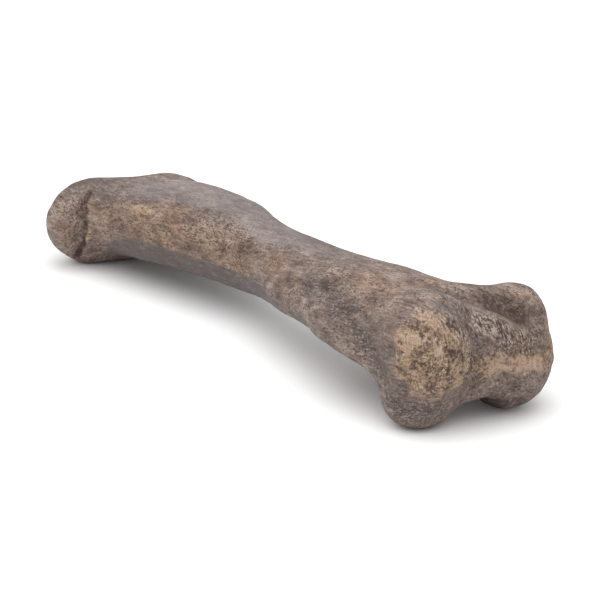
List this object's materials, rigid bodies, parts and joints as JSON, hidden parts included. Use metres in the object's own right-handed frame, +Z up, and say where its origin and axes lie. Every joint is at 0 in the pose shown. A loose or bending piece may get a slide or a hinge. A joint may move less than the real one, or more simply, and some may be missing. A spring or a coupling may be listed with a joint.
{
  "type": "fossil sauropod femur",
  "caption": "Long fossil thigh bone with a waisted shaft, a rounded head at the hip end and two knuckles with grooves at the knee end, for display, staging or study.",
  "frame": {"origin": "centre of the bounding box at its base, on the ground the bone lies on", "axes": "+X along the shaft towards the knee end, +Z up through the front face of the bone, -Y towards its inner side, where the head is"},
  "size_m": [1.168, 0.3794, 0.2181],
  "materials": {
    "fossil_bone": "matte grey-brown mineralised bone with tan rugose knuckle faces, lengthwise grain, dark pits and a faint wax sheen"
  },
  "bodies": {
    "root": {"femur": "fossil_bone"}
  },
  "joints": []
}
